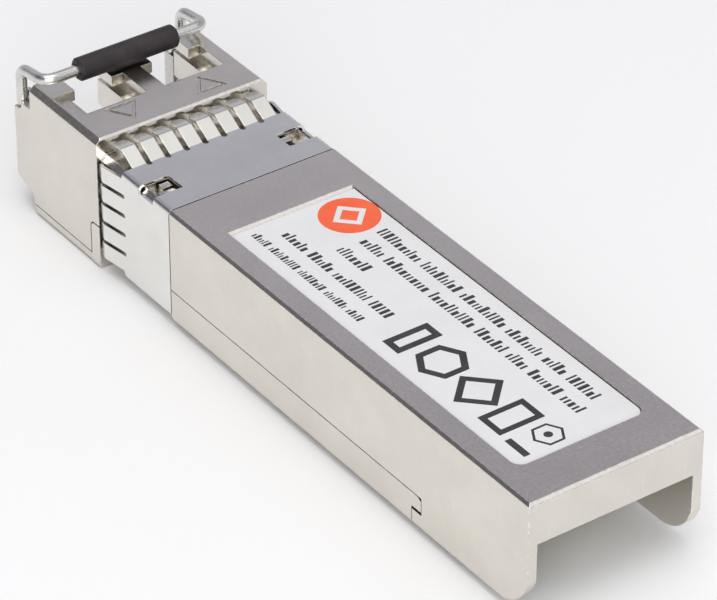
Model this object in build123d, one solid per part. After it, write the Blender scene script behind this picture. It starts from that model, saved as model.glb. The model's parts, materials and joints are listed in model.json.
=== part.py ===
from build123d import *
import os

# Pluggable optical transceiver module with two LC receptacles, an edge connector and a bail latch.
# Millimetres. X is the width, +Y points from the fibre end to the edge connector, +Z is the label side.
# Y = 0 is the stop plane, where the nose seats against the cage. Z = 0 is the underside of the body.

hair = 0.01  # how far joined shapes lap and cuts break through
overrun = 1.0  # how far a cut runs on outside the shape

# ---------------------------------------------------------------- body outline
body_width = 13.4
body_height = 8.5
body_length = 47.5  # stop plane to the connector end
body_bevel = 0.2
wall = 0.95
roof = 1.1
floor = 0.7
seam = 0.06  # parting gap between the two housings
neck_corner = 0.25
cavity_stop = 0.5  # cavity's end to the bottom opening

# ---------------------------------------------------------------- nose outside the cage
nose_width = 13.8
nose_rise = 1.15  # nose top above the body top
nose_drop = 0.65  # nose underside below the body underside
nose_length = 8.4
nose_bevel = 0.4
nose_back_bevel = 0.15
cover_thickness = 0.8
cover_setback = 0.15
cover_radius = 0.35
riser_length = 0.5
ear_length = 2.0
ear_thickness = 0.8
ear_foot_height = 1.65
ear_root_height = 0.65  # above the nose's lower edge
ear_top_above_pivot = 0.2
side_tab_length = 1.0
side_tab_height = 2.7
side_tab_depth = 0.5
side_tab_radius = 0.4
side_tab_gap = 0.1
side_tab_root = 0.2  # tab's lower end above the cover's underside

# ---------------------------------------------------------------- LC ports
port_pitch = 6.25
port_width = 4.7
optical_height = 4.0
port_floor_height = 1.7
port_height = 4.65
port_depth = 9.2
latch_channel_width = 3.4  # above the plug's body
window_width = 4.8
window_length = 3.0
window_depth = 1.35
catch_thickness = 0.8  # lugs in front of a window, which hold the plug's latch
window_back = 3.2  # window's rear edge to the stop plane
latch_slot_width = 3.0
throat_wall = 0.8
marker_depth = 0.08
marker_width = 2.5
marker_length = 2.0
marker_line = 0.22
marker_setback = 0.3

# ---------------------------------------------------------------- connector end
board_bottom = 2.25
board_thickness = 1.0
shoulder_above_board = 2.0
bottom_opening = 10.4
skirt_width = 0.7
skirt_corner_radius = 3.0
ledge_width = 0.4  # board edge held above and below
tongue_length = 1.0
tongue_bottom = 1.2
tongue_corner = 0.5
tongue_setback = 0.5  # tongue's end to the bottom opening
hook_slot = 0.22

# ---------------------------------------------------------------- label
label_width = 9.8
label_length = 30.9
label_thickness = 0.12
label_recess = 0.25
label_gap = 0.06
label_from_rear = 3.5
label_corner = 0.8

# ---------------------------------------------------------------- EMI collar
sheet = 0.2
neck_length = 8.5
collar_gap = 0.1
collar_corner = 0.4
finger_root = 2.75
finger_lap = 0.3  # strip's lap on the collar
finger_tip_corner = 0.42
slot_reach = 0.3  # slots' rounded ends behind the finger roots
top_finger_crest = (1.33, 0.82)  # Y and the rise above the collar
top_finger_tip = (0.22, 0.62)
top_finger_bend = 0.45
top_finger_count = 8
top_finger_pitch = 1.5
top_finger_slot = 0.4
side_finger_crest = (0.75, 0.28)
side_finger_tip = (0.15, 0.08)
side_finger_bend = 0.3
side_finger_count = 5
side_finger_pitch = 1.54
side_finger_slot = 0.3
side_finger_low = 0.5
bottom_finger_count = 2  # on each side of the latch boss
bottom_finger_start = 2.6
lock_front = 4.8
lock_length = 1.75
lock_reach = 2.4
lock_side_notch = 0.5  # lock window's reach down the collar's side
lock_tab_width = 1.1
lock_tab_inset = 0.5
lock_tab_length = 0.85
lock_tab_knee = (0.5, 0.18)  # behind the tip's rear end and below the collar's top
lock_tab_drop = 0.45
lock_pocket_depth = 0.6
lock_pocket_edge = 0.4
lock_boss_inset = 0.2
lock_boss_width = 0.7
lock_boss_length = 0.55
lock_boss_drop = 0.1

# ---------------------------------------------------------------- bail and latch
wire = 0.8
bail_bar_y = -6.9
bail_bar_z = 10.65
bail_bend_z = 10.2
bail_bend_radius = 0.85
pivot_y = -10.0
pivot_z = 7.6
pivot_clearance = 0.04
arm_clearance = 0.05
sleeve_diameter = 1.66
sleeve_length = 7.9
sleeve_end_bevel = 0.15
sleeve_clearance = 0.02
cam_reach = 0.45
cam_radius = 0.3
cam_clearance = 0.1
lug_thickness = 0.3
lug_wall = 0.3
lever_sheet = 0.3
upright_sheet = 0.25
upright_length = 1.1
latch_pivot_y = -4.5
latch_pivot_z = 0.75
latch_pin_diameter = 0.6
latch_pin_clearance = 0.04
pin_hold = 1.0  # pin's length in each side of the channel
pin_end_gap = 0.1
pin_seat_clearance = 0.01
pin_rest_gap = 0.02
post_inset = 0.04
channel_roof = 0.3  # under the port floor
tail_channel_rise = 0.05
lever_barrel_wall = 0.25
actuator_width = 6.3
lever_side_gap = 0.1
lever_clearance = 0.1
cover_web = 0.45  # cover left under the lever
lever_tail = 5.6
lever_room = 0.5
latch_shoulder = 2.5
boss_height = 0.45
boss_width = 2.6
boss_length = 2.6
boss_gap = 0.12
boss_lap = 0.05
boss_flat = 0.35
boss_back_height = 0.1
boss_window_gap = 0.45  # round the boss in the collar
spring_thickness = 0.12
spring_width = 2.4
spring_front = -2.9
spring_bend = -1.6
spring_foot = 1.4
spring_end = 1.9
spring_skew = 0.05

# ---------------------------------------------------------------- optics
ferrule_diameter = 1.25
ferrule_clearance = 0.02  # on the diameter
sleeve_outer = 2.0
optic_sleeve_length = 4.3
barrel_diameter = 2.9
barrel_reach = 4.2  # barrel mouth in front of the stop plane
barrel_lip = 0.3
barrel_flange_diameter = 4.2
barrel_clearance = 0.05
gasket_thickness = 0.5
gasket_gap = 0.1
flange_thickness = 0.9
groove_width = 0.6
groove_diameter = 3.4
clamp_clearance = 0.05
clamp_lift = 0.6
mouth_clearance = 0.2  # barrel mouth round the ferrule bore
lens_diameter = 1.6
light_hole_diameter = 0.9
can_diameter = 4.0
can_length = 2.0
can_wall = 0.2
header_diameter = 5.0
header_thickness = 1.0
flex_thickness = 0.12
flex_width = 3.6
flex_lap = 1.8
flex_top_gap = 0.3
flex_bend = 0.5

# ---------------------------------------------------------------- circuit board
board_width = 11.2
board_start = 11.5
edge_width = 9.2
edge_inset = 3.2  # board end to the connector end of the body
edge_chamfer = 0.3
board_shoulder = 0.2  # wide part's end to the bottom opening
rib_offsets = (3.5, 21.5)  # board's front end to each rib that presses on it
rib_length = 1.5
rib_gap = 0.02
contact_count = 10
contact_pitch = 0.8
contact_width = 0.5
contact_length = 3.4
contact_thickness = 0.05
contact_setback = 0.4
peg_y = 24.0
peg_radius = 0.6
peg_clearance = 0.08
peg_wall_gap = 0.05
driver_size = 4.0
driver_height = 0.85
driver_y = 17.5
controller_size = 5.0
controller_height = 0.9
controller_y = 27.0
capacitor_size = (1.0, 0.5, 0.5)
resistor_size = (0.6, 0.3, 0.25)
solder_lift = 0.02
capacitor_gap = 0.9  # row's middle to the side of its chip
capacitor_pitch = 1.1
resistor_count = 8
resistor_pitch = 1.1
resistor_rows = (1.2, 2.4)  # behind the controller
pad_inset = 0.1

# ---------------------------------------------------------------- worked-out places
body_half = body_width / 2
nose_half = nose_width / 2
nose_top = body_height + nose_rise
nose_bottom = -nose_drop
cover_top = nose_bottom + cover_thickness
nose_floor = cover_top + seam
cover_front = cover_setback - nose_length
board_top = board_bottom + board_thickness
split_low = board_bottom
split_high = board_bottom + seam
cavity_half = body_half - wall
cavity_top = body_height - roof
neck_half = body_half - sheet
neck_top = body_height - sheet
opening_start = body_length - bottom_opening
shoulder_bottom = board_top + shoulder_above_board
skirt_inner = body_half - skirt_width
cover_end = opening_start - tongue_length - tongue_setback
tongue_end = cover_end + tongue_length
port_top = port_floor_height + port_height
window_floor = nose_top - window_depth
catch_bottom = nose_top - catch_thickness
port_back = port_depth - nose_length
throat_back = port_back + throat_wall
ear_front = -nose_length - ear_length
arm_x = nose_half - wire / 2
arm_inner = nose_half - wire
lug_outer = arm_inner - arm_clearance
lug_inner = lug_outer - lug_thickness
upright_outer = lug_inner - arm_clearance
upright_inner = upright_outer - upright_sheet
actuator_half = actuator_width / 2
lever_half = actuator_half - lever_side_gap
lever_low = latch_pivot_z - lever_sheet / 2
lever_high = latch_pivot_z + lever_sheet / 2
channel_top = port_floor_height - channel_roof
tail_channel_top = port_floor_height + tail_channel_rise
flange_front = throat_back + gasket_thickness
groove_front = flange_front + flange_thickness
can_front = groove_front + groove_width + flange_thickness
header_front = can_front + can_length
header_back = header_front + header_thickness
port_centres = (port_pitch / 2, -port_pitch / 2)
optic_mouth = barrel_lip - barrel_reach


def block(x, y, z):
    """Box between two limits on each axis."""
    size = (x[1] - x[0], y[1] - y[0], z[1] - z[0])
    return Pos(sum(x) / 2, sum(y) / 2, sum(z) / 2) * Box(*size)


def along_x(outline, x_from, x_to):
    """Solid of a closed (y, z) outline, from one X to another."""
    face = make_face(Polyline(*outline, close=True))
    return extrude(Plane.YZ.offset(x_from) * face, amount=x_to - x_from)


def along_y(outline, y_from, y_to):
    """Solid of a closed (x, z) outline, from one Y to another."""
    face = make_face(Polyline(*outline, close=True))
    return extrude(Plane.XZ.offset(-y_to) * face, amount=y_to - y_from)


def rod_x(radius, x, y, z):
    """Cylinder along X between two X limits."""
    return Pos(sum(x) / 2, y, z) * Rot(0, 90, 0) * Cylinder(radius, x[1] - x[0])


def rod_y(radius, x, y, z):
    """Cylinder along Y between two Y limits."""
    return Pos(x, sum(y) / 2, z) * Rot(90, 0, 0) * Cylinder(radius, y[1] - y[0])


def both_sides(shape):
    """The shape and its mirror image across the centre plane."""
    return shape + mirror(shape, about=Plane.YZ)


def x_edges_near(shape, y, z):
    """Edges along X that pass through one (y, z) place."""
    near = 1e-3
    edges = shape.edges().filter_by(Axis.X)
    return edges.filter_by(lambda e: abs(e.center().Y - y) < near and abs(e.center().Z - z) < near)


def bevelled_bar(half, low, high, bevel, y_from, y_to):
    """Bar along Y whose two top edges are bevelled."""
    outline = [(-half, low), (half, low), (half, high - bevel), (half - bevel, high)]
    outline += [(bevel - half, high), (-half, high - bevel)]
    return along_y(outline, y_from, y_to)


# ---------------------------------------------------------------- upper housing
def ear(x_from, x_to):
    """Side plate that carries the bail ahead of the nose, with a corner notch for the wire."""
    notch = wire / 2 + arm_clearance
    top = pivot_z + ear_top_above_pivot
    corner = (pivot_y + notch, pivot_z - notch)
    outline = [
        (-nose_length, nose_floor + ear_root_height),
        (ear_front, ear_foot_height),
        (ear_front, corner[1]),
        corner,
        (corner[0], top),
        (-nose_length, top),
    ]
    plate = along_x(outline, x_from, x_to)
    return fillet(x_edges_near(plate, *corner), notch - hair)


def pivot_lug():
    """Thin lug inside the ear that closes round the end of the bail wire."""
    radius = wire / 2 + pivot_clearance + lug_wall
    web = block((lug_inner, lug_outer), (pivot_y, -nose_length), (pivot_z - 2 * radius, pivot_z))
    eye = rod_x(radius, (lug_inner, lug_outer), pivot_y, pivot_z)
    spacer = block(
        (lug_inner, nose_half - ear_thickness),
        (pivot_y, -nose_length),
        (pivot_z - 2 * radius, pivot_z - radius),
    )
    bore = rod_x(wire / 2 + pivot_clearance, (lug_inner, lug_outer), pivot_y, pivot_z)
    return web + eye + spacer - bore


def port_cut(x):
    """Space of one LC port: plug body, latch channel, wing channel, window, slot and barrel hole."""
    front = -nose_length - hair
    window_front = -window_back - window_length
    body = (x - port_width / 2, x + port_width / 2)
    channel = (x - latch_channel_width / 2, x + latch_channel_width / 2)
    wings = (x - window_width / 2, x + window_width / 2)
    slot = (x - latch_slot_width / 2, x + latch_slot_width / 2)
    cut = block(body, (front, port_back), (port_floor_height, port_top))
    cut += block(channel, (front, -window_back), (port_top - hair, window_floor + hair))
    cut += block(wings, (front, -window_back), (window_floor, catch_bottom))
    cut += block(wings, (window_front, -window_back), (catch_bottom - hair, nose_top + hair))
    cut += block(slot, (front, window_front + hair), (catch_bottom - hair, nose_top + hair))
    barrel_hole = barrel_diameter / 2 + barrel_clearance
    return cut + rod_y(barrel_hole, x, (port_back - hair, throat_back + hair), optical_height)


def marker_groove(x, apex_direction):
    """Engraved triangle outline behind a latch window."""
    near = marker_setback - window_back
    base_y = near if apex_direction > 0 else near + marker_length
    apex_y = base_y + apex_direction * marker_length
    corners = [(x - marker_width / 2, base_y), (x + marker_width / 2, base_y), (x, apex_y)]
    face = make_face(Polyline(*corners, close=True))
    inner = offset(face, amount=-marker_line, kind=Kind.INTERSECTION)
    ring = Pos(0, 0, nose_top - marker_depth) * (face - inner)
    return extrude(ring, amount=marker_depth + hair)


def rear_skirt():
    """Side wall at the connector end, stepped round the lower housing's tongue."""
    lap = tongue_end + seam
    low = tongue_bottom - hook_slot
    outline = [
        (cover_end + seam, 0),
        (body_length, 0),
        (body_length, shoulder_bottom),
        (lap, shoulder_bottom),
        (lap, low),
        (cover_end + seam, low),
    ]
    skirt = along_x(outline, skirt_inner, body_half)
    return fillet(x_edges_near(skirt, body_length, 0), skirt_corner_radius)


def upper_housing():
    """Die-cast nose, roof, side walls and connector shoulder in one piece."""
    nose = bevelled_bar(nose_half, nose_floor, nose_top, nose_bevel, -nose_length, 0)
    nose = chamfer(x_edges_near(nose, 0, nose_top), nose_back_bevel)
    neck = bevelled_bar(neck_half, split_high, neck_top, 2 * sheet, 0, neck_length)
    throat = block((-neck_half, neck_half), (0, throat_back), (floor + seam, split_high))
    bar = bevelled_bar(body_half, split_high, body_height, body_bevel, neck_length, body_length)
    bar = chamfer(x_edges_near(bar, body_length, body_height), body_bevel)
    housing = nose + neck + throat + bar
    cavity_end = opening_start - cavity_stop
    housing -= block((-cavity_half, cavity_half), (throat_back, cavity_end), (0, cavity_top))
    housing -= block(
        (-skirt_inner, skirt_inner),
        (cavity_end - hair, body_length + overrun),
        (-overrun, shoulder_bottom),
    )
    housing += both_sides(rear_skirt())
    housing += both_sides(ear(nose_half - ear_thickness, nose_half))
    housing += both_sides(pivot_lug())
    for x in port_centres:
        housing -= port_cut(x)
    housing -= actuator_channel()
    housing -= both_sides(pin_slot())
    housing -= both_sides(side_tab(side_tab_gap))
    housing -= riser(seam)
    housing -= both_sides(lock_pocket())
    housing -= label_pocket()
    housing -= marker_groove(port_centres[0], 1)
    housing -= marker_groove(port_centres[1], -1)
    for offset_y in rib_offsets:
        housing += both_sides(board_rib(board_start + offset_y))
    return housing


def actuator_channel():
    """Channel for the latch lever under the ports."""
    side = (-actuator_half, actuator_half)
    under_ports = block(side, (-nose_length - hair, hair), (nose_floor - hair, channel_top))
    under_throat = block(side, (0, throat_back + hair), (0, tail_channel_top))
    return under_ports + under_throat


def pin_slot():
    """Open slot that takes one end of the latch pin from below."""
    radius = latch_pin_diameter / 2 + pin_seat_clearance
    side = (actuator_half - hair, actuator_half + pin_hold + pin_end_gap)
    seat = rod_x(radius, side, latch_pivot_y, latch_pivot_z)
    way_in = block(
        side, (latch_pivot_y - radius, latch_pivot_y + radius), (nose_floor - hair, latch_pivot_z)
    )
    return seat + way_in


def side_tab(gap):
    """Tab of the lower housing that shows on the nose's side, grown by a gap."""
    back = hair if gap else 0
    low = nose_bottom + side_tab_root
    outline = [
        (back, low),
        (back, side_tab_height + gap),
        (-side_tab_length - gap, side_tab_height + gap),
        (-side_tab_length - gap, low),
    ]
    tab = along_x(outline, nose_half - side_tab_depth - gap, nose_half + gap)
    corner = x_edges_near(tab, -side_tab_length - gap, side_tab_height + gap)
    return fillet(corner, side_tab_radius + gap)


def lock_pocket():
    """Pocket in the neck that takes a collar lock tab, with a locating boss left in it."""
    inner = body_half - lock_reach
    bottom = neck_top - lock_pocket_depth
    pocket = block(
        (inner, neck_half - lock_pocket_edge),
        (lock_front, lock_front + lock_length),
        (bottom, neck_top + hair),
    )
    boss_x = inner + lock_boss_inset
    boss_y = lock_front + lock_boss_inset
    boss = block(
        (boss_x, boss_x + lock_boss_width),
        (boss_y, boss_y + lock_boss_length),
        (bottom, neck_top - lock_boss_drop),
    )
    return pocket - boss


def label_pocket():
    """Shallow recess for the label."""
    half = label_width / 2 + label_gap
    rear = body_length - label_from_rear + label_gap
    front = rear - label_length - 2 * label_gap
    depth = (body_height - label_recess, body_height + hair)
    pocket = block((-half, half), (front, rear), depth)
    corners = pocket.edges().filter_by(Axis.Z).group_by(Axis.Y)[-1]
    pocket = fillet(corners, label_corner)
    sloped = [(front + hair, depth[0]), (front + hair, depth[1]), (front - label_recess, depth[1])]
    return pocket + along_x(sloped, -half, half)


def board_rib(y):
    """Rib that presses the circuit board on its ledge."""
    return block(
        (board_width / 2 - ledge_width, cavity_half + hair),
        (y, y + rib_length),
        (board_top + rib_gap, cavity_top + hair),
    )


# ---------------------------------------------------------------- lower housing
def pin_post():
    """Post that holds the latch pin up in its slot."""
    radius = latch_pin_diameter / 2
    return block(
        (actuator_half + seam, actuator_half + pin_hold),
        (latch_pivot_y - radius + post_inset, latch_pivot_y + radius - post_inset),
        (cover_top - hair, latch_pivot_z - radius - pin_rest_gap),
    )


def rear_tongue():
    """Tongue that hooks under the upper housing's side wall."""
    outline = [
        (cover_end - hair, tongue_bottom),
        (tongue_end, tongue_bottom),
        (tongue_end, split_low),
        (cover_end - hair, split_low),
    ]
    tongue = along_x(outline, skirt_inner + seam, body_half)
    return fillet(x_edges_near(tongue, tongue_end, split_low), tongue_corner)


def riser(gap):
    """Step that joins the nose cover to the raised floor of the neck, grown by a gap."""
    half = neck_half + gap
    return block((-half, half), (-riser_length - gap, hair), (cover_top - hair, floor + gap))


def board_peg():
    """Half-round peg that locates the circuit board lengthwise."""
    middle = (board_bottom + board_top) / 2
    peg = Pos(board_width / 2, peg_y, middle) * Cylinder(peg_radius, board_thickness + 2 * hair)
    limit = block(
        (0, cavity_half - peg_wall_gap),
        (peg_y - peg_radius, peg_y + peg_radius),
        (board_bottom - hair, board_top),
    )
    return peg & limit


def lower_housing():
    """Bottom cover with the low side walls, nose cover, tongues and latch opening."""
    cover = block((-nose_half, nose_half), (cover_front, 0), (nose_bottom, cover_top))
    low_edges = cover.edges().group_by(Axis.Z)[0]
    cover = fillet(low_edges.filter_by(Axis.Y) + low_edges.sort_by(Axis.Y)[:1], cover_radius)
    cover += both_sides(side_tab(0))
    neck = block((-neck_half, neck_half), (0, neck_length), (sheet, floor))
    neck = fillet(neck.edges().filter_by(Axis.Y).group_by(Axis.Z)[0], neck_corner)
    body = block((-body_half, body_half), (neck_length, cover_end), (0, floor))
    tail_half = skirt_inner - seam
    tail = block((-tail_half, tail_half), (cover_end - hair, opening_start), (0, floor))
    housing = cover + neck + body + tail + riser(0)
    ledge = board_width / 2 - ledge_width
    side = block((ledge, neck_half), (throat_back + seam, neck_length), (floor - hair, split_low))
    side += block((ledge, body_half), (neck_length, cover_end), (floor - hair, split_low))
    housing += both_sides(side + rear_tongue() + board_peg())
    housing -= block(
        (-actuator_half, actuator_half),
        (cover_front - hair, -riser_length),
        (nose_bottom + cover_web, cover_top + hair),
    )
    lever_floor = lever_low - lever_clearance
    housing -= block(
        (-actuator_half, actuator_half),
        (-riser_length - hair, lever_tail + lever_room),
        (lever_floor, floor + hair),
    )
    housing -= block(
        (-boss_width / 2 - boss_gap, boss_width / 2 + boss_gap),
        (latch_shoulder - boss_gap, latch_shoulder + boss_length + boss_gap),
        (0, floor),
    )
    housing += both_sides(pin_post())
    return housing


# ---------------------------------------------------------------- EMI collar
def finger_outline(crest, tip, base):
    """Bent strip outline from the root to the tip, as (y, height) pairs."""
    outer = [(finger_root + finger_lap, base), (finger_root, base)]
    outer += [(crest[0], base + crest[1]), (tip[0], base + tip[1])]
    inner = [(y, height - sheet) for y, height in reversed(outer)]
    return outer + inner


def rounded_finger(strip, edge_axis, crest, tip, bend):
    """Bent strip with its crest arched and the corners of its free end rounded."""
    near = 1e-3
    folds = strip.edges().filter_by(edge_axis).filter_by(lambda e: abs(e.center().Y - crest[0]) < near)
    strip = fillet(folds, bend)
    ends = strip.edges().filter_by(lambda e: e.center().Y < tip[0] + near and e.length < 2 * sheet)
    return fillet(ends, finger_tip_corner)


def top_finger(x):
    """Spring finger on the top of the collar."""
    half = (top_finger_pitch - top_finger_slot) / 2
    strip = along_x(finger_outline(top_finger_crest, top_finger_tip, body_height), x - half, x + half)
    return rounded_finger(strip, Axis.X, top_finger_crest, top_finger_tip, top_finger_bend)


def bottom_finger(x):
    """Spring finger on the underside of the collar."""
    half = (top_finger_pitch - top_finger_slot) / 2
    outline = [(y, -rise) for y, rise in finger_outline(side_finger_crest, side_finger_tip, 0)]
    strip = along_x(outline, x - half, x + half)
    return rounded_finger(strip, Axis.X, side_finger_crest, side_finger_tip, side_finger_bend)


def side_finger(z):
    """Spring finger on the side of the collar."""
    half = (side_finger_pitch - side_finger_slot) / 2
    outline = finger_outline(side_finger_crest, side_finger_tip, body_half)
    face = make_face(Polyline(*[(x, y) for y, x in outline], close=True))
    strip = extrude(Plane.XY.offset(z - half) * face, amount=2 * half)
    return rounded_finger(strip, Axis.Z, side_finger_crest, side_finger_tip, side_finger_bend)


def slot_end(width):
    """Rounded end of a slot between two fingers, through a sheet whose outer face is at Z = 0."""
    round_y = finger_root + slot_reach - width / 2
    channel = block((-width / 2, width / 2), (finger_root - hair, round_y), (-2 * sheet, sheet))
    return channel + Pos(0, round_y, -sheet / 2) * Cylinder(width / 2, 3 * sheet)


def lock_tab():
    """Lanced tab that drops into the neck's pocket and locks the collar."""
    rear = lock_front + lock_length
    outer = [
        (rear + hair, body_height),
        (rear - lock_tab_knee[0], body_height - lock_tab_knee[1]),
        (rear - lock_tab_length, body_height - lock_tab_drop),
    ]
    inner = [(y, z - sheet) for y, z in reversed(outer)]
    start = body_half - lock_reach + lock_tab_inset
    return along_x(outer + inner, start, start + lock_tab_width)


def collar_band():
    """Plain band of the collar, with its lock windows and tabs."""
    rear = neck_length - collar_gap
    outer = block((-body_half, body_half), (finger_root, rear), (0, body_height))
    outer = fillet(outer.edges().filter_by(Axis.Y), collar_corner)
    through = (finger_root - overrun, rear + overrun)
    inner = block((-neck_half, neck_half), through, (sheet, neck_top))
    inner = fillet(inner.edges().filter_by(Axis.Y), collar_corner - sheet)
    window = block(
        (body_half - lock_reach, body_half + overrun),
        (lock_front, lock_front + lock_length),
        (body_height - lock_side_notch, body_height + overrun),
    )
    return outer - inner - both_sides(window) + both_sides(lock_tab())


def emi_collar():
    """Sheet-metal collar round the neck, with spring fingers on all four sides."""
    collar = collar_band()
    for index in range(top_finger_count):
        collar += top_finger((index - (top_finger_count - 1) / 2) * top_finger_pitch)
    for index in range(side_finger_count):
        collar += both_sides(side_finger(side_finger_low + side_finger_pitch * (index + 0.5)))
    for index in range(bottom_finger_count):
        collar += both_sides(bottom_finger(bottom_finger_start + top_finger_pitch * (index + 0.5)))
    for index in range(1, top_finger_count):
        x = (index - top_finger_count / 2) * top_finger_pitch
        collar -= Pos(x, 0, body_height) * slot_end(top_finger_slot)
    for index in range(1, side_finger_count):
        z = side_finger_low + side_finger_pitch * index
        collar -= both_sides(Pos(body_half, 0, z) * Rot(0, 90, 0) * slot_end(side_finger_slot))
    boss_half = boss_width / 2 + boss_window_gap
    boss_end = latch_shoulder + boss_length + boss_window_gap
    return collar - block(
        (-boss_half, boss_half), (finger_root - overrun, boss_end), (-overrun, sheet + hair)
    )


# ---------------------------------------------------------------- bail
def bail_half():
    """Half of the bail wire, from the middle of the bar to the end pin and cam."""
    path = FilletPolyline(
        (0, bail_bar_y, bail_bar_z),
        (arm_x, bail_bar_y, bail_bar_z),
        (arm_x, pivot_y, bail_bend_z),
        (arm_x, pivot_y, pivot_z),
        radius=bail_bend_radius,
    )
    section = Plane(origin=path @ 0, z_dir=path % 0) * Circle(wire / 2)
    half = sweep(section, path=path)
    half += Pos(arm_x, pivot_y, pivot_z) * Sphere(wire / 2)
    half += rod_x(wire / 2, (upright_inner, arm_x), pivot_y, pivot_z)
    return half + cam()


def cam():
    """Lobe on the end of the wire that presses the latch lever's upright down."""
    side = (upright_inner, upright_outer)
    lobe = rod_x(cam_radius, side, pivot_y - cam_reach, pivot_z)
    neck = block(side, (pivot_y - cam_reach, pivot_y), (pivot_z - cam_radius, pivot_z + cam_radius))
    return lobe + neck


def bail_wire():
    """Bent spring-wire handle."""
    return both_sides(bail_half())


def bail_sleeve():
    """Grip sleeve on the bail's bar."""
    side = (-sleeve_length / 2, sleeve_length / 2)
    grip = rod_x(sleeve_diameter / 2, side, bail_bar_y, bail_bar_z)
    grip = chamfer(grip.edges().filter_by(GeomType.CIRCLE), sleeve_end_bevel)
    return grip - rod_x(wire / 2 + sleeve_clearance, side, bail_bar_y, bail_bar_z)


# ---------------------------------------------------------------- latch
def latch_boss():
    """Wedge that catches in the cage, its flat face towards the nose."""
    outline = [
        (latch_shoulder, lever_low + boss_lap),
        (latch_shoulder, -boss_height),
        (latch_shoulder + boss_flat, -boss_height),
        (latch_shoulder + boss_length, boss_back_height),
        (latch_shoulder + boss_length, lever_low + boss_lap),
    ]
    return along_x(outline, -boss_width / 2, boss_width / 2)


def latch_lever():
    """Rocking plate with two uprights in front, a hinge barrel and the latch boss."""
    front = pivot_y - upright_length / 2
    back = pivot_y + upright_length / 2
    plate = block((-lever_half, lever_half), (back - hair, lever_tail), (lever_low, lever_high))
    cross = block((-upright_outer, upright_outer), (front, back), (lever_low, lever_high))
    upright_top = pivot_z - wire / 2 - cam_clearance
    upright = block((upright_inner, upright_outer), (front, back), (lever_low, upright_top))
    pin_hole = latch_pin_diameter / 2 + latch_pin_clearance
    side = (-lever_half, lever_half)
    barrel = rod_x(pin_hole + lever_barrel_wall, side, latch_pivot_y, latch_pivot_z)
    lever = plate + cross + both_sides(upright) + barrel + latch_boss()
    return lever - rod_x(pin_hole, side, latch_pivot_y, latch_pivot_z)


def latch_pin():
    """Cross pin of the latch lever."""
    reach = actuator_half + pin_hold
    return rod_x(latch_pin_diameter / 2, (-reach, reach), latch_pivot_y, latch_pivot_z)


def latch_spring():
    """Leaf spring that holds the lever's boss down."""
    outline = [
        (spring_front, channel_top),
        (spring_bend, channel_top),
        (spring_foot, lever_high + spring_thickness),
        (spring_end, lever_high + spring_thickness),
        (spring_end, lever_high),
        (spring_foot - spring_skew, lever_high),
        (spring_bend - spring_skew, channel_top - spring_thickness),
        (spring_front, channel_top - spring_thickness),
    ]
    return along_x(outline, -spring_width / 2, spring_width / 2)


# ---------------------------------------------------------------- optical sub-assemblies
def optic_barrel(x):
    """Receptacle barrel with a lip, clamp groove and bore for the sleeve and lens."""
    z = optical_height
    barrel = rod_y(barrel_diameter / 2, x, (-barrel_reach, flange_front + hair), z)
    flange = barrel_flange_diameter / 2
    barrel += rod_y(flange, x, (flange_front, groove_front), z)
    barrel += rod_y(groove_diameter / 2, x, (groove_front - hair, groove_front + groove_width + hair), z)
    barrel += rod_y(flange, x, (groove_front + groove_width, can_front), z)
    lens_seat = optic_mouth + optic_sleeve_length
    mouth_radius = (ferrule_diameter + ferrule_clearance) / 2 + mouth_clearance
    barrel -= rod_y(mouth_radius, x, (-barrel_reach - hair, optic_mouth + hair), z)
    barrel -= rod_y(sleeve_outer / 2, x, (optic_mouth, lens_seat), z)
    barrel -= rod_y(lens_diameter / 2, x, (lens_seat - hair, lens_seat + lens_diameter), z)
    barrel -= rod_y(light_hole_diameter / 2, x, (lens_seat, can_front + hair), z)
    return barrel


def optic_sleeve(x):
    """Ceramic sleeve that guides the fibre ferrule."""
    span = (optic_mouth, optic_mouth + optic_sleeve_length)
    bore = (ferrule_diameter + ferrule_clearance) / 2
    return rod_y(sleeve_outer / 2, x, span, optical_height) - rod_y(bore, x, span, optical_height)


def optic_lens(x):
    """Ball lens behind the sleeve."""
    centre_y = optic_mouth + optic_sleeve_length + lens_diameter / 2
    return Pos(x, centre_y, optical_height) * Sphere(lens_diameter / 2)


def optic_can(x):
    """Drawn cap of the laser or photodiode can, with its light opening."""
    outer = rod_y(can_diameter / 2, x, (can_front, header_front), optical_height)
    inside = (can_front + can_wall, header_front + hair)
    outer -= rod_y(can_diameter / 2 - can_wall, x, inside, optical_height)
    light_way = (can_front - hair, inside[0] + hair)
    return outer - rod_y(light_hole_diameter / 2, x, light_way, optical_height)


def optic_header(x):
    """Base disc of the can."""
    disc = rod_y(header_diameter / 2, x, (header_front, header_back), optical_height)
    pedestal_size = can_diameter / 4
    pedestal = block(
        (x - pedestal_size, x + pedestal_size),
        (header_front - can_length / 2, header_front + hair),
        (optical_height - pedestal_size, optical_height + pedestal_size),
    )
    return disc + pedestal


def optic_flex(x):
    """Flexible circuit from the header down to the board's top."""
    low = board_top
    top = optical_height + header_diameter / 2 - flex_top_gap
    outline = [
        (header_back, top),
        (header_back, low),
        (board_start + flex_lap, low),
        (board_start + flex_lap, low + flex_thickness),
        (header_back + flex_thickness, low + flex_thickness),
        (header_back + flex_thickness, top),
    ]
    strip = along_x(outline, x - flex_width / 2, x + flex_width / 2)
    bend = x_edges_near(strip, header_back + flex_thickness, low + flex_thickness)
    return fillet(bend, flex_bend)


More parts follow.
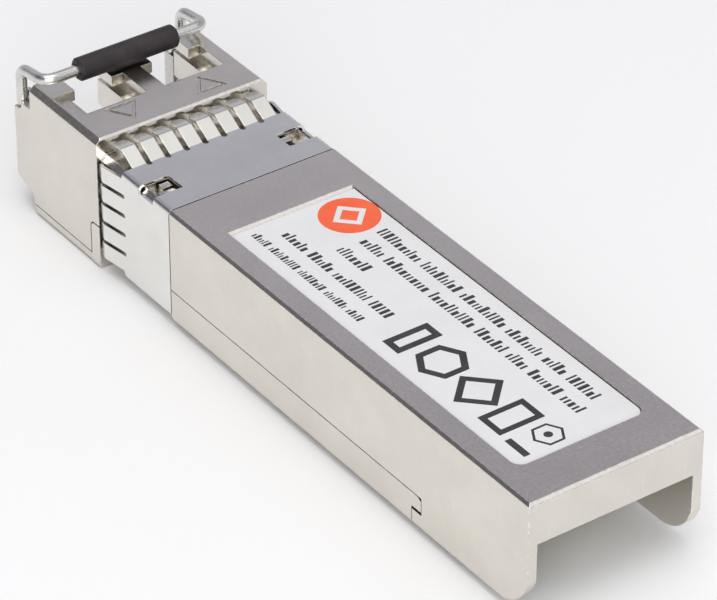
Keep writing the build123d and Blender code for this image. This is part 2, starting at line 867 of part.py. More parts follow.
def optic_clamp():
    """Plate that drops over both barrels' grooves and holds them in the housing."""
    plate = block(
        (clamp_clearance - cavity_half, cavity_half - clamp_clearance),
        (groove_front + clamp_clearance, groove_front + groove_width - clamp_clearance),
        (tail_channel_top + clamp_lift, cavity_top - clamp_clearance),
    )
    radius = groove_diameter / 2 + clamp_clearance
    groove = (groove_front, groove_front + groove_width)
    for x in port_centres:
        plate -= rod_y(radius, x, groove, optical_height)
        plate -= block((x - radius, x + radius), groove, (0, optical_height))
    return plate


def emi_gasket():
    """Conductive pad between the throat wall and the barrel flanges."""
    span = (throat_back, flange_front)
    pad = block(
        (gasket_gap - cavity_half, cavity_half - gasket_gap),
        span,
        (split_high + gasket_gap, cavity_top - gasket_gap),
    )
    for x in port_centres:
        pad -= rod_y(barrel_diameter / 2, x, span, optical_height)
    return pad


# ---------------------------------------------------------------- circuit board
def circuit_board():
    """Board with a narrow edge connector, bevelled for insertion."""
    edge_end = body_length - edge_inset
    half = board_width / 2
    level = (board_bottom, board_top)
    wide_end = opening_start - board_shoulder
    board = block((-half, half), (board_start, wide_end), level)
    edge = block((-edge_width / 2, edge_width / 2), (wide_end - hair, edge_end), level)
    ends = edge.edges().filter_by(Axis.X).group_by(Axis.Y)[-1]
    board += chamfer(ends, edge_chamfer)
    notch = Pos(half, peg_y, board_bottom) * Cylinder(peg_radius + peg_clearance, 4 * board_thickness)
    return board - both_sides(notch)


def edge_contacts(z_low):
    """Row of gold contacts on one face of the board."""
    end = body_length - edge_inset - contact_setback
    row = []
    for index in range(contact_count):
        x = (index - (contact_count - 1) / 2) * contact_pitch
        side = (x - contact_width / 2, x + contact_width / 2)
        row.append(block(side, (end - contact_length, end), (z_low, z_low + contact_thickness)))
    return Compound(row)


def chip(size, height, y):
    """Square flat package on the board's centre line."""
    low = board_top + solder_lift
    return block((-size / 2, size / 2), (y - size / 2, y + size / 2), (low, low + height))


def small_parts(size, places):
    """Group of identical small components, standing on the board's top."""
    low = board_top + solder_lift
    width, length, height = size
    group = []
    for x, y in places:
        across = (x - width / 2, x + width / 2)
        group.append(block(across, (y - length / 2, y + length / 2), (low, low + height)))
    return Compound(group)


def capacitor_places():
    """Two rows beside the driver and two beside the controller."""
    rows = []
    for centre, size in ((driver_y, driver_size), (controller_y, controller_size)):
        x = size / 2 + capacitor_gap
        rows += [(side * x, centre + step * capacitor_pitch) for side in (-1, 1) for step in (-1, 0, 1)]
    return rows


def resistor_places():
    """Two rows across the board, between the controller and the edge connector."""
    chip_end = controller_y + controller_size / 2
    places = []
    for index in range(resistor_count):
        x = (index - (resistor_count - 1) / 2) * resistor_pitch
        places += [(x, chip_end + row) for row in resistor_rows]
    return places


def heat_pad():
    """Soft pad that carries the driver's heat to the roof."""
    half = driver_size / 2 - pad_inset
    low = board_top + solder_lift + driver_height
    return block((-half, half), (driver_y - half, driver_y + half), (low, cavity_top))


def label():
    """Printed label in its recess."""
    rear = body_length - label_from_rear
    low = body_height - label_recess
    plate = block(
        (-label_width / 2, label_width / 2), (rear - label_length, rear), (low, low + label_thickness)
    )
    corners = plate.edges().filter_by(Axis.Z).group_by(Axis.Y)[-1]
    return fillet(corners, label_corner - label_gap)


def all_nodes():
    """Every sub-part by node name."""
    nodes = {
        "upper_housing": upper_housing(),
        "lower_housing": lower_housing(),
        "emi_collar": emi_collar(),
        "bail_wire": bail_wire(),
        "bail_sleeve": bail_sleeve(),
        "latch_lever": latch_lever(),
        "latch_pin": latch_pin(),
        "latch_spring": latch_spring(),
        "optic_clamp": optic_clamp(),
        "emi_gasket": emi_gasket(),
        "circuit_board": circuit_board(),
        "top_contacts": edge_contacts(board_top),
        "bottom_contacts": edge_contacts(board_bottom - contact_thickness),
        "driver_chip": chip(driver_size, driver_height, driver_y),
        "controller_chip": chip(controller_size, controller_height, controller_y),
        "capacitors": small_parts(capacitor_size, capacitor_places()),
        "resistors": small_parts(resistor_size, resistor_places()),
        "heat_pad": heat_pad(),
        "label": label(),
    }
    for side, x in zip(("transmit", "receive"), port_centres):
        nodes[side + "_barrel"] = optic_barrel(x)
        nodes[side + "_sleeve"] = optic_sleeve(x)
        nodes[side + "_lens"] = optic_lens(x)
        nodes[side + "_can"] = optic_can(x)
        nodes[side + "_header"] = optic_header(x)
        nodes[side + "_flex"] = optic_flex(x)
    return nodes


os.makedirs("parts", exist_ok=True)
for name, shape in all_nodes().items():
    export_step(shape, "parts/" + name + ".step")
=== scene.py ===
import json
import math
import random

import bmesh
import bpy
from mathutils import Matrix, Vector


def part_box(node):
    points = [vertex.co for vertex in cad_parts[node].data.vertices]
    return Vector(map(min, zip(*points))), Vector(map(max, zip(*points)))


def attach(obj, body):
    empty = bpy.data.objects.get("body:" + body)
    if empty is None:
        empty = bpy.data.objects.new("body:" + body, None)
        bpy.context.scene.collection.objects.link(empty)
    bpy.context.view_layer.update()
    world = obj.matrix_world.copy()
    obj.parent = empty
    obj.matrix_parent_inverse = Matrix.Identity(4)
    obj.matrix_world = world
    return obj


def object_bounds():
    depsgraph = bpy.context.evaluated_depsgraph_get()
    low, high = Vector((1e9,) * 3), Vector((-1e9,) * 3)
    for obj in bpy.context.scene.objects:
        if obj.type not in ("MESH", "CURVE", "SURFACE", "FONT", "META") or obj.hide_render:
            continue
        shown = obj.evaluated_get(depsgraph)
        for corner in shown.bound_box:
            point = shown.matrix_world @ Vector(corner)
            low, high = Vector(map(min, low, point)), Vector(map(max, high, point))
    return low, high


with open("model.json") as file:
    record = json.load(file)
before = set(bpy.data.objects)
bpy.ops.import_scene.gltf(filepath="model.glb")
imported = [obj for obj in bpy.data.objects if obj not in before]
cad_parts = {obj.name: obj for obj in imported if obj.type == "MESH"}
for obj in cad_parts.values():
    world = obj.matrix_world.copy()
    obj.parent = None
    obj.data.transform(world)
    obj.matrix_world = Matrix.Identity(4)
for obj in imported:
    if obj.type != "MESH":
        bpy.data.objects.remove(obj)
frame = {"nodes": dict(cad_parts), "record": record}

MM = 0.001
nodes = frame["nodes"]
cad_low, cad_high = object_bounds()

NOISE_ROUGHNESS = 0.55
NOISE_SPAN = (0.3, 0.7)  # part of the noise's range that the colours and the gloss spread over
FINE_SHARE = 0.4  # how much the grain varies the colour, next to the broad clouds
SPECK_SIZE = 0.16  # millimetres
SPECK_SPAN = (0.66, 0.74)  # only the noise's highest values make a speck
RECESS_REACH = 0.6  # millimetres
RECESS_SPAN = (0.75, 0.2)  # openness where the painted shade starts, and where it is full
HIGHLIGHT_WIDTH = 1.8  # width of the painted highlight strip along the edges, as a multiple of the edge's radius
HIGHLIGHT_TURN = (0.985, 0.93)  # cosine of the eased normal's turn where the painted highlight starts, and where it is full
HIGHLIGHT_PATCH = 0.3  # millimetres
HIGHLIGHT_SPAN = (0.54, 0.6)  # noise values where a patch of painted highlight starts, and where it is full
BEVEL_SAMPLES = 6
RECESS_SAMPLES = 8


# ---------------------------------------------------------------- shader building blocks
def add(tree, kind, values=None, **settings):
    """Shader node with its settings and the values of its unlinked inputs."""
    node = tree.nodes.new(kind)
    for name, value in settings.items():
        setattr(node, name, value)
    for name, value in (values or {}).items():
        node.inputs[name].default_value = value
    return node


def place(tree, stretch=(1, 1, 1)):
    """Object coordinates in millimetres, shrunk along an axis to stretch the pattern there."""
    where = add(tree, "ShaderNodeTexCoord")
    scaled = add(tree, "ShaderNodeMapping", {"Scale": [s / MM for s in stretch]})
    tree.links.new(where.outputs["Object"], scaled.inputs["Vector"])
    return scaled.outputs["Vector"]


def noise(tree, vector, size, detail=3.0):
    """Noise whose blobs are about size millimetres across."""
    values = {"Scale": 1 / size, "Detail": detail, "Roughness": NOISE_ROUGHNESS}
    node = add(tree, "ShaderNodeTexNoise", values)
    tree.links.new(vector, node.inputs["Vector"])
    return node.outputs["Fac"]


def remap(tree, value, source, target):
    """Value taken from one range to another, clamped."""
    names = ("From Min", "From Max", "To Min", "To Max")
    node = add(tree, "ShaderNodeMapRange", dict(zip(names, (*source, *target))))
    tree.links.new(value, node.inputs["Value"])
    return node.outputs["Result"]


def combine(tree, first, second, share):
    """Blend of two values, with share of the second."""
    node = add(tree, "ShaderNodeMix", {"Factor": share}, data_type="FLOAT")
    tree.links.new(first, node.inputs["A"])
    tree.links.new(second, node.inputs["B"])
    return node.outputs["Result"]


def larger(tree, first, second):
    """The larger of two values."""
    node = add(tree, "ShaderNodeMath", operation="MAXIMUM")
    tree.links.new(first, node.inputs[0])
    tree.links.new(second, node.inputs[1])
    return node.outputs["Value"]


def ramp_of(tree, factor, stops):
    """Colour looked up on a ramp of (position, colour) stops."""
    node = add(tree, "ShaderNodeValToRGB")
    elements = node.color_ramp.elements
    last = len(stops) - 1
    for index, (position, colour) in enumerate(stops):
        if index in (0, last):
            stop = elements[0 if index == 0 else -1]
            stop.position = position
        else:
            stop = elements.new(position)
        stop.color = (*colour, 1)
    tree.links.new(factor, node.inputs["Fac"])
    return node.outputs["Color"]


def tones(tree, factor, colours):
    """Colours spread evenly over the middle of the factor's range."""
    low, high = NOISE_SPAN
    last = len(colours) - 1
    stops = [(low + (high - low) * index / last, colour) for index, colour in enumerate(colours)]
    return ramp_of(tree, factor, stops)


def relief(tree, height, depth, edge):
    """Bump of a depth in millimetres, on edges eased by a radius in millimetres."""
    bump = add(tree, "ShaderNodeBump", {"Strength": 1.0, "Distance": depth * MM})
    tree.links.new(height, bump.inputs["Height"])
    if edge:
        ease = add(tree, "ShaderNodeBevel", {"Radius": edge * MM}, samples=BEVEL_SAMPLES)
        tree.links.new(ease.outputs["Normal"], bump.inputs["Normal"])
    return bump.outputs["Normal"]


def start(name):
    """Empty material with its shader."""
    made = bpy.data.materials.new(name)
    made.use_nodes = True
    return made, made.node_tree, made.node_tree.nodes["Principled BSDF"]


def tint(tree, colour, share, towards):
    """Colour moved towards another one by a varying share."""
    node = add(tree, "ShaderNodeMix", {"B": (*towards, 1)}, data_type="RGBA")
    tree.links.new(colour, node.inputs["A"])
    tree.links.new(share, node.inputs["Factor"])
    return node.outputs["Result"]


def recesses(tree, reach):
    """Share of painted shade, which grows from 0 on open faces to 1 in narrow gaps, reach in millimetres.
    """
    node = add(tree, "ShaderNodeAmbientOcclusion", {"Distance": reach * MM}, samples=RECESS_SAMPLES)
    return remap(tree, node.outputs["AO"], RECESS_SPAN, (0, 1))


def edge_highlight_share(tree, width):
    """Share of painted highlight, which is 1 on broken patches along the sharp edges."""
    eased = add(tree, "ShaderNodeBevel", {"Radius": width * MM}, samples=BEVEL_SAMPLES)
    plain = add(tree, "ShaderNodeNewGeometry")
    turned = add(tree, "ShaderNodeVectorMath", operation="DOT_PRODUCT")
    tree.links.new(eased.outputs["Normal"], turned.inputs[0])
    tree.links.new(plain.outputs["True Normal"], turned.inputs[1])
    near_edge = remap(tree, turned.outputs["Value"], HIGHLIGHT_TURN, (0, 1))
    patches = remap(tree, noise(tree, place(tree), HIGHLIGHT_PATCH, detail=2.0), HIGHLIGHT_SPAN, (0, 1))
    both = add(tree, "ShaderNodeMath", operation="MULTIPLY")
    tree.links.new(near_edge, both.inputs[0])
    tree.links.new(patches, both.inputs[1])
    return both.outputs["Value"]


def surface(
    name, colours, rough, grain, depth, metallic=0.0, edge=0.0, stretch=(1, 1, 1), broad=5.0,
    specks=0.0, pattern=None, painted_shade=None, painted_highlight=None, **sockets
):
    """Material with broad and fine colour variation, uneven gloss and fine relief.

    Millimetres: grain and broad are the sizes of the fine and broad blobs, depth is that of the
    relief, and edge is the edges' radius. The shade colour is painted shade in the hollows and gaps,
    and the highlight colour is a painted highlight along the sharp edges.
    """
    made, tree, shader = start(name)
    vector = place(tree, stretch)
    fine = noise(tree, vector, grain)
    cloud = noise(tree, place(tree), broad, detail=2.0)
    mixed = combine(tree, cloud, fine, FINE_SHARE)
    height = fine
    if specks:
        dots = noise(tree, place(tree), SPECK_SIZE, detail=1.0)
        height = combine(tree, fine, remap(tree, dots, SPECK_SPAN, (0, 1)), specks)
    if pattern:
        mixed, height = pattern(tree, mixed, height)
    colour = tones(tree, mixed, colours)
    # painted highlight: the colour lightens in patches along the sharp edges
    if painted_highlight:
        colour = tint(tree, colour, edge_highlight_share(tree, HIGHLIGHT_WIDTH * edge), painted_highlight)
    # painted shade: the colour darkens towards the shade colour in hollows and gaps, where shade falls
    if painted_shade:
        colour = tint(tree, colour, recesses(tree, RECESS_REACH), painted_shade)
    tree.links.new(colour, shader.inputs["Base Color"])
    tree.links.new(remap(tree, fine, NOISE_SPAN, rough), shader.inputs["Roughness"])
    tree.links.new(relief(tree, height, depth, edge), shader.inputs["Normal"])
    shader.inputs["Metallic"].default_value = metallic
    for socket, value in sockets.items():
        shader.inputs[socket.replace("_", " ")].default_value = value
    return made


# ---------------------------------------------------------------- patterns that lie under some surfaces
def traces(tree, mixed, height):
    """Copper tracks and filled holes that show through the board's solder mask."""
    track_values = {"Scale": 1.0, "Mortar Size": 0.035, "Brick Width": 1.7, "Row Height": 0.42}
    tracks = add(tree, "ShaderNodeTexBrick", track_values)
    tree.links.new(place(tree), tracks.inputs["Vector"])
    tracks.inputs["Color1"].default_value = (0.25, 0.25, 0.25, 1)
    tracks.inputs["Color2"].default_value = (0.4, 0.4, 0.4, 1)
    tracks.inputs["Mortar"].default_value = (1, 1, 1, 1)
    holes = add(tree, "ShaderNodeTexVoronoi", {"Scale": 0.9, "Randomness": 0.8})
    tree.links.new(place(tree, (1, 1, 0)), holes.inputs["Vector"])
    spots = remap(tree, holes.outputs["Distance"], (0.16, 0.2), (1, 0))
    marked = larger(tree, tracks.outputs["Color"], spots)
    return combine(tree, mixed, marked, 0.75), combine(tree, height, marked, 0.9)


def lanes(tree, mixed, height):
    """Copper lanes under the flexible film."""
    lines = add(tree, "ShaderNodeTexWave", {"Scale": 0.52, "Distortion": 0.0}, bands_direction="X")
    tree.links.new(place(tree), lines.inputs["Vector"])
    marked = remap(tree, lines.outputs["Fac"], (0.45, 0.55), (0, 1))
    return combine(tree, mixed, marked, 0.7), combine(tree, height, marked, 0.9)


def cells(tree, mixed, height):
    """Open cells of a foam."""
    pores = add(tree, "ShaderNodeTexVoronoi", {"Scale": 7.0})
    tree.links.new(place(tree), pores.inputs["Vector"])
    depth = remap(tree, pores.outputs["Distance"], (0.0, 0.6), (0, 1))
    return combine(tree, mixed, depth, 0.6), combine(tree, height, depth, 0.9)


SCRATCH_ANGLES = (0.35, 1.9)
SCRATCH_STRETCH = (0.12, 3.4, 0.12)  # long in X and thin in Y, before the turn
SCRATCH_SPAN = (0.7, 0.74)  # only the noise's highest values make a scratch


def scratches(tree, mixed, height):
    """Hair-thin marks that handling leaves, in two directions."""
    marks = None
    for turn in SCRATCH_ANGLES:
        swing = add(tree, "ShaderNodeVectorRotate", {"Angle": turn}, rotation_type="Z_AXIS")
        tree.links.new(place(tree), swing.inputs["Vector"])
        drawn = add(tree, "ShaderNodeMapping", {"Scale": SCRATCH_STRETCH})
        tree.links.new(swing.outputs["Vector"], drawn.inputs["Vector"])
        lines = remap(tree, noise(tree, drawn.outputs["Vector"], 0.3, detail=1.0), SCRATCH_SPAN, (0, 1))
        marks = lines if marks is None else larger(tree, marks, lines)
    return combine(tree, mixed, marks, 0.15), combine(tree, height, marks, 0.4)


def fibres(tree, mixed, height):
    """Faint fibres of the label film's matt coat."""
    strands = noise(tree, place(tree, (1, 0.12, 1)), 0.05, detail=2.0)
    return combine(tree, mixed, strands, 0.3), combine(tree, height, strands, 0.5)


# ---------------------------------------------------------------- finishes, one for each slot of the record
SLOTS = {
    "housing_nickel": surface(
        "cast_nickel",
        [(0.68, 0.645, 0.59), (0.735, 0.70, 0.64), (0.78, 0.745, 0.685)],
        rough=(0.15, 0.27), grain=0.25, depth=0.002,
        metallic=1.0, edge=0.09, broad=4.0, specks=0.35, pattern=scratches,
        # the first colour here is painted shade for the hollows and gaps
        # the second colour here is painted highlight along the sharp edges
        painted_shade=(0.24, 0.235, 0.21), painted_highlight=(0.97, 0.95, 0.92),
    ),
    "collar_steel": surface(
        "collar_sheet",
        [(0.76, 0.755, 0.735), (0.80, 0.795, 0.77), (0.84, 0.835, 0.81)],
        rough=(0.13, 0.24), grain=0.12, depth=0.0008,
        metallic=1.0, edge=0.05, stretch=(1, 0.15, 1), broad=2.5,
    ),
    "wire_steel": surface(
        "drawn_wire",
        [(0.60, 0.605, 0.585), (0.69, 0.695, 0.67), (0.76, 0.765, 0.735)],
        rough=(0.2, 0.34), grain=0.08, depth=0.0012,
        metallic=1.0, broad=1.5,
    ),
    "grip_black": surface(
        "grip_moulding",
        [(0.013, 0.010, 0.0105), (0.022, 0.017, 0.018), (0.034, 0.027, 0.028)],
        rough=(0.42, 0.62), grain=0.1, depth=0.006,
        edge=0.06, broad=1.2, Specular_IOR_Level=0.45,
    ),
    "lever_steel": surface(
        "stamped_sheet",
        [(0.52, 0.52, 0.51), (0.62, 0.62, 0.60), (0.70, 0.70, 0.68)],
        rough=(0.22, 0.38), grain=0.12, depth=0.0015,
        metallic=1.0, edge=0.05, stretch=(1, 0.15, 1), broad=2.0,
    ),
    "moulding_black": surface(
        "black_moulding",
        [(0.03, 0.03, 0.033), (0.05, 0.05, 0.055), (0.07, 0.07, 0.075)],
        rough=(0.45, 0.65), grain=0.12, depth=0.005,
        edge=0.06, broad=1.5,
    ),
    "gasket_grey": surface(
        "conductive_foam",
        [(0.12, 0.125, 0.13), (0.28, 0.29, 0.30), (0.4, 0.41, 0.42)],
        rough=(0.6, 0.85), grain=0.15, depth=0.02,
        edge=0.05, broad=1.0, pattern=cells,
    ),
    "board_green": surface(
        "solder_mask",
        [(0.008, 0.075, 0.035), (0.02, 0.14, 0.07), (0.06, 0.28, 0.13)],
        rough=(0.18, 0.32), grain=0.25, depth=0.006,
        edge=0.04, broad=3.0, pattern=traces, Coat_Weight=0.3, Coat_Roughness=0.15,
    ),
    "contact_gold": surface(
        "gold_plate",
        [(0.74, 0.50, 0.20), (0.86, 0.63, 0.28), (0.93, 0.72, 0.36)],
        rough=(0.14, 0.28), grain=0.1, depth=0.001,
        metallic=1.0, edge=0.02, stretch=(1, 0.2, 1), broad=1.0,
    ),
    "chip_black": surface(
        "epoxy_package",
        [(0.022, 0.022, 0.025), (0.04, 0.04, 0.045), (0.065, 0.065, 0.07)],
        rough=(0.5, 0.7), grain=0.06, depth=0.004,
        edge=0.04, broad=1.0,
    ),
    "capacitor_tan": surface(
        "capacitor_ceramic",
        [(0.42, 0.30, 0.18), (0.55, 0.42, 0.28), (0.66, 0.53, 0.38)],
        rough=(0.35, 0.5), grain=0.1, depth=0.003,
        edge=0.03, broad=0.6,
    ),
    "pad_grey": surface(
        "gap_filler",
        [(0.38, 0.43, 0.51), (0.45, 0.50, 0.58), (0.53, 0.58, 0.65)],
        rough=(0.5, 0.7), grain=0.2, depth=0.008,
        edge=0.06, broad=1.5,
    ),
    "label_white": surface(
        "label_film",
        [(0.74, 0.74, 0.745), (0.785, 0.785, 0.785), (0.82, 0.82, 0.815)],
        rough=(0.38, 0.5), grain=0.15, depth=0.0012,
        edge=0.02, broad=3.0, pattern=fibres, Specular_IOR_Level=0.4,
    ),
    "optic_steel": surface(
        "turned_steel",
        [(0.56, 0.56, 0.55), (0.66, 0.66, 0.65), (0.74, 0.74, 0.73)],
        rough=(0.15, 0.3), grain=0.06, depth=0.0015,
        metallic=1.0, edge=0.04, stretch=(0.08, 1, 0.08), broad=1.5,
    ),
    "ceramic_white": surface(
        "zirconia",
        [(0.84, 0.83, 0.79), (0.90, 0.89, 0.86), (0.93, 0.92, 0.90)],
        rough=(0.1, 0.2), grain=0.2, depth=0.001,
        edge=0.03, broad=1.0, Subsurface_Weight=0.1, Subsurface_Radius=(0.0004, 0.0003, 0.0002),
    ),
    "lens_glass": surface(
        "lens_glass",
        [(0.93, 0.96, 0.98), (0.95, 0.97, 0.99), (0.97, 0.98, 1.0)],
        rough=(0.01, 0.04), grain=0.3, depth=0.0003,
        broad=0.8, Transmission_Weight=1.0, IOR=1.6,
    ),
    "can_metal": surface(
        "gilt_can",
        [(0.70, 0.55, 0.28), (0.80, 0.66, 0.38), (0.88, 0.76, 0.48)],
        rough=(0.14, 0.26), grain=0.08, depth=0.001,
        metallic=1.0, edge=0.04, broad=1.0,
    ),
    "flex_amber": surface(
        "polyimide_film",
        [(0.42, 0.17, 0.03), (0.60, 0.30, 0.07), (0.76, 0.46, 0.16)],
        rough=(0.2, 0.32), grain=0.15, depth=0.004,
        edge=0.02, broad=1.0, pattern=lanes, Coat_Weight=0.3, Coat_Roughness=0.12,
    ),
}
PRINT_BLACK = surface(
    "print_black",
    [(0.022, 0.022, 0.024), (0.032, 0.032, 0.035), (0.045, 0.045, 0.048)],
    rough=(0.35, 0.5), grain=0.1, depth=0.001,
    broad=1.0,
)
PRINT_ORANGE = surface(
    "print_orange",
    [(0.85, 0.105, 0.03), (0.93, 0.135, 0.042), (0.96, 0.165, 0.06)],
    rough=(0.35, 0.48), grain=0.1, depth=0.001,
    broad=1.5,
)

for subpart in frame["record"]["subparts"]:
    mesh = nodes[subpart["node"]].data
    mesh.materials.clear()
    mesh.materials.append(SLOTS[subpart["material_slot"]])


# ---------------------------------------------------------------- mesh helpers
def prism(bm, outline, low, high):
    """Upright prism on a closed (x, y) outline."""
    top = [bm.verts.new((x, y, high)) for x, y in outline]
    base = [bm.verts.new((x, y, low)) for x, y in outline]
    bm.faces.new(top)
    bm.faces.new(reversed(base))
    for index in range(len(outline)):
        after = (index + 1) % len(outline)
        bm.faces.new((base[index], base[after], top[after], top[index]))


def circle(centre, radius, steps):
    """Points spaced evenly round a circle."""
    angles = [math.tau * (k / steps) for k in range(steps)]
    return [(centre[0] + radius * math.cos(t), centre[1] + radius * math.sin(t)) for t in angles]


def disc(bm, centre, radius, low, high, steps):
    """Flat round plate."""
    prism(bm, circle(centre, radius, steps), low, high)


def ring(bm, centre, outer, inner, low, high, steps):
    """Flat ring of short wedges that share their ends, or a hollow polygon if the steps are few."""
    rims = [circle(centre, radius, steps) for radius in (outer, inner)]
    levels = [[[bm.verts.new((x, y, z)) for x, y in rim] for z in (low, high)] for rim in rims]
    (out_low, out_high), (in_low, in_high) = levels
    for k in range(steps):
        n = (k + 1) % steps
        bm.faces.new((out_high[k], out_high[n], in_high[n], in_high[k]))
        bm.faces.new((out_low[n], out_low[k], in_low[k], in_low[n]))
        bm.faces.new((out_low[k], out_low[n], out_high[n], out_high[k]))
        bm.faces.new((in_low[n], in_low[k], in_high[k], in_high[n]))


def bar(bm, x, y, low, high):
    """Flat plate between two X and two Y limits."""
    prism(bm, [(x[0], y[0]), (x[1], y[0]), (x[1], y[1]), (x[0], y[1])], low, high)


def frame_of(bm, x, y, stroke, low, high):
    """Rectangular outline drawn with four bars."""
    bar(bm, x, (y[0], y[0] + stroke), low, high)
    bar(bm, x, (y[1] - stroke, y[1]), low, high)
    bar(bm, (x[0], x[0] + stroke), (y[0] + stroke, y[1] - stroke), low, high)
    bar(bm, (x[1] - stroke, x[1]), (y[0] + stroke, y[1] - stroke), low, high)


def piece(name, bm, material, body="module"):
    """Object made from a mesh drawn in metres, riding on a body."""
    bm.normal_update()
    mesh = bpy.data.meshes.new(name)
    bm.to_mesh(mesh)
    bm.free()
    made = bpy.data.objects.new(name, mesh)
    bpy.context.scene.collection.objects.link(made)
    mesh.materials.append(material)
    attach(made, body)
    return made


# ---------------------------------------------------------------- generic print on the label
label_low, label_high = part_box("label")
label_left = label_low.x
label_front = label_low.y
INK = 0.008 * MM  # thickness of the print
ink_low = label_high.z
ink_high = ink_low + INK


def on_label(x, y):
    """Point of the label, from its front left corner, in millimetres."""
    return label_left + x * MM, label_front + y * MM


def span_on_label(x, y):
    """X and Y limits on the label, from its front left corner, in millimetres."""
    low, high = on_label(x[0], y[0]), on_label(x[1], y[1])
    return (low[0], high[0]), (low[1], high[1])


GROUP_STROKES = (5, 11)  # fewest and most strokes in a group
STROKE_WIDTHS = (0.16, 0.2, 0.34)  # these and the next three are shares of the row's height
STROKE_HEIGHTS = (0.64, 0.64, 0.95, 0.95)
STROKE_GAP = 0.2
GROUP_GAP = 0.42


def stroke_row(bm, base, height, start_y, end_y, seed):
    """Row of short strokes in groups, which stands for a line of print."""
    pick = random.Random(seed)
    y = start_y
    while y < end_y - height:
        for _ in range(pick.randint(*GROUP_STROKES)):
            width = height * pick.choice(STROKE_WIDTHS)
            tall = height * pick.choice(STROKE_HEIGHTS)
            if y + width < end_y:
                x_span, y_span = span_on_label((base - tall, base), (y, y + width))
                bar(bm, x_span, y_span, ink_low, ink_high)
            y += width + height * STROKE_GAP
        y += height * GROUP_GAP


PRINT_ROWS = (  # base line from the left edge, height, start and end from the front edge
    (1.85, 0.9, 5.1, 28.0),
    (3.45, 0.9, 5.4, 28.9),
    (5.2, 0.9, 5.3, 8.6),
    (7.1, 0.85, 1.8, 13.7),
    (8.72, 0.65, 0.7, 13.0),
)
ink = bmesh.new()
for seed, (base, height, start_y, end_y) in enumerate(PRINT_ROWS):
    stroke_row(ink, base, height, start_y, end_y, seed)
# the large signs and the spot, in millimetres: X across the label and Y along it
HEXAGON, DIAMOND = 6, 4
ROUND, SMALL_ROUND = 96, 36
SIGN_SIDES = (5.2, 8.7)
SIGN_MIDDLE = 6.95
NARROW_SIGN, NARROW_STROKE = (15.3, 17.0), 0.5
WIDE_SIGN, WIDE_STROKE = (25.3, 27.6), 0.45
HEXAGON_Y, HEXAGON_OUTER = 19.3, 1.85
DIAMOND_Y, DIAMOND_OUTER = 23.1, 1.95
SIGN_INNER = 1.3
BADGE_CENTRE = (6.2, 29.2)
BADGE_OUTER, BADGE_INNER, BADGE_DOT = 1.15, 0.95, 0.3
DASH_SIDES, DASH_ENDS = (8.3, 8.8), (28.2, 30.2)
frame_of(ink, *span_on_label(SIGN_SIDES, NARROW_SIGN), NARROW_STROKE * MM, ink_low, ink_high)
radii = (HEXAGON_OUTER * MM, SIGN_INNER * MM)
ring(ink, on_label(SIGN_MIDDLE, HEXAGON_Y), *radii, ink_low, ink_high, HEXAGON)
radii = (DIAMOND_OUTER * MM, SIGN_INNER * MM)
ring(ink, on_label(SIGN_MIDDLE, DIAMOND_Y), *radii, ink_low, ink_high, DIAMOND)
frame_of(ink, *span_on_label(SIGN_SIDES, WIDE_SIGN), WIDE_STROKE * MM, ink_low, ink_high)
radii = (BADGE_OUTER * MM, BADGE_INNER * MM)
ring(ink, on_label(*BADGE_CENTRE), *radii, ink_low, ink_high, HEXAGON)
disc(ink, on_label(*BADGE_CENTRE), BADGE_DOT * MM, ink_low, ink_high, SMALL_ROUND)
bar(ink, *span_on_label(DASH_SIDES, DASH_ENDS), ink_low, ink_high)
piece("label_print", ink, PRINT_BLACK)

SPOT_CENTRE = (2.1, 2.45)
SPOT_RADIUS = 2.1
EMBLEM_OUTER, EMBLEM_INNER = 1.35, 0.8
spot = bmesh.new()
disc(spot, on_label(*SPOT_CENTRE), SPOT_RADIUS * MM, ink_low, ink_high, ROUND)
piece("label_spot", spot, PRINT_ORANGE)
emblem = bmesh.new()
radii = (EMBLEM_OUTER * MM, EMBLEM_INNER * MM)
ring(emblem, on_label(*SPOT_CENTRE), *radii, ink_high, ink_high + INK, DIAMOND)
piece("label_emblem", emblem, SLOTS["label_white"])

# ---------------------------------------------------------------- floor, light and camera
FLAT_RADIUS = 0.8  # the floor is a flat disc with a rim that curves up, in metres
SWEEP_RADIUS = 0.45
SWEEP_ANGLES = (0, 15, 30, 45, 60, 75)
FLOOR_STEPS = 96
ground = bmesh.new()
profile = []
for lean in SWEEP_ANGLES:
    angle = math.radians(lean)
    out = FLAT_RADIUS + SWEEP_RADIUS * math.sin(angle)
    profile.append((out, SWEEP_RADIUS * (1 - math.cos(angle))))
rings = []
for radius, height in profile:
    rim = circle((0, 0), radius, FLOOR_STEPS)
    rings.append([ground.verts.new((x, y, cad_low.z + height)) for x, y in rim])
ground.faces.new(rings[0])
for lower, upper in zip(rings, rings[1:]):
    for k in range(FLOOR_STEPS):
        n = (k + 1) % FLOOR_STEPS
        ground.faces.new((upper[k], upper[n], lower[n], lower[k])).smooth = True
floor_mesh = bpy.data.meshes.new("floor")
ground.to_mesh(floor_mesh)
ground.free()
floor = bpy.data.objects.new("floor", floor_mesh)
bpy.context.scene.collection.objects.link(floor)
floor_paper = surface(
    "floor_paper",
    [(0.93, 0.93, 0.93), (0.94, 0.94, 0.94)],
    rough=(0.85, 0.95), grain=1.0, depth=0.001,
    broad=60.0, Specular_IOR_Level=0.1,
)
floor_mesh.materials.append(floor_paper)

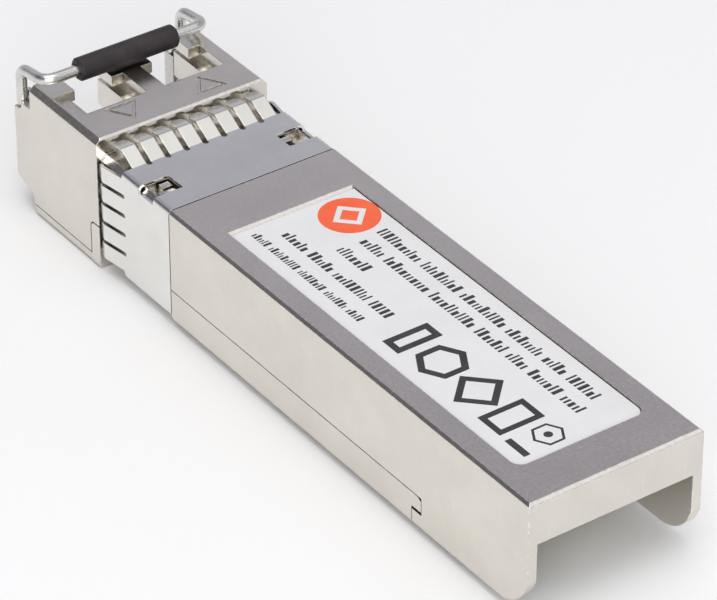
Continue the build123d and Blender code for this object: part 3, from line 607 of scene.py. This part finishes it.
world = bpy.data.worlds.new("studio")
bpy.context.scene.world = world
world.use_nodes = True
sky = world.node_tree
direction = add(sky, "ShaderNodeTexCoord")
axes = add(sky, "ShaderNodeSeparateXYZ")
sky.links.new(direction.outputs["Generated"], axes.inputs["Vector"])
SKY_STOPS = (  # sine of the height above the horizon, and the light's colour there
    (0.0, (0.50, 0.50, 0.525)),
    (0.5, (0.565, 0.57, 0.635)),
    (0.6, (0.365, 0.355, 0.425)),
    (0.76, (0.35, 0.345, 0.39)),
    (0.88, (1.0, 0.985, 0.95)),
    (1.0, (1.03, 1.01, 0.98)),
)
DIM_SIDE_X = (0.1, 0.45)  # X of the directions between which the sky darkens, on the fill light's side
DIM_SIDE_STRENGTH = (1.0, 0.28)
background = sky.nodes["Background"]
sky.links.new(ramp_of(sky, axes.outputs["Z"], SKY_STOPS), background.inputs["Color"])
dim_side = remap(sky, axes.outputs["X"], DIM_SIDE_X, DIM_SIDE_STRENGTH)
sky.links.new(dim_side, background.inputs["Strength"])


def softbox(name, position, size, power):
    """Square light that faces the object's middle."""
    lamp = bpy.data.lights.new(name, "AREA")
    lamp.shape = "SQUARE"
    lamp.size = size
    lamp.energy = power
    made = bpy.data.objects.new(name, lamp)
    made.location = position
    made.rotation_mode = "QUATERNION"
    made.rotation_quaternion = ((cad_low + cad_high) / 2 - made.location).to_track_quat("-Z", "Y")
    bpy.context.scene.collection.objects.link(made)


SOFTBOXES = (  # name, place, side length in metres and power in watts
    ("key", (0.12, 0.10, 0.55), 0.4, 1.2),
    ("fill", (0.34, 0.50, 0.22), 0.5, 2.45),
    ("rim", (-0.33, 0.42, 0.46), 0.22, 0.13),
)
for name, position, size, power in SOFTBOXES:
    softbox(name, Vector(position), size, power)

AZIMUTH = math.radians(144.593)
ELEVATION = math.radians(34.589)
CAMERA_DISTANCE = 0.2888
LOOK_AT = Vector((0.22, 20.81, 5.81)) * MM
LENS = 224.3
SENSOR_WIDTH = 36
CLIP_NEAR, CLIP_FAR = 0.01, 10
back = Vector((
    math.sin(AZIMUTH) * math.cos(ELEVATION),
    -math.cos(AZIMUTH) * math.cos(ELEVATION),
    math.sin(ELEVATION),
))
camera_data = bpy.data.cameras.new("camera")
camera_data.sensor_width = SENSOR_WIDTH
camera_data.sensor_fit = "HORIZONTAL"
camera_data.lens = LENS
camera_data.clip_start = CLIP_NEAR
camera_data.clip_end = CLIP_FAR
camera = bpy.data.objects.new("camera", camera_data)
camera.location = LOOK_AT + back * CAMERA_DISTANCE
camera.rotation_mode = "QUATERNION"
camera.rotation_quaternion = (-back).to_track_quat("-Z", "Y")
bpy.context.scene.collection.objects.link(camera)
bpy.context.scene.camera = camera
bpy.context.scene.view_settings.view_transform = "Standard"
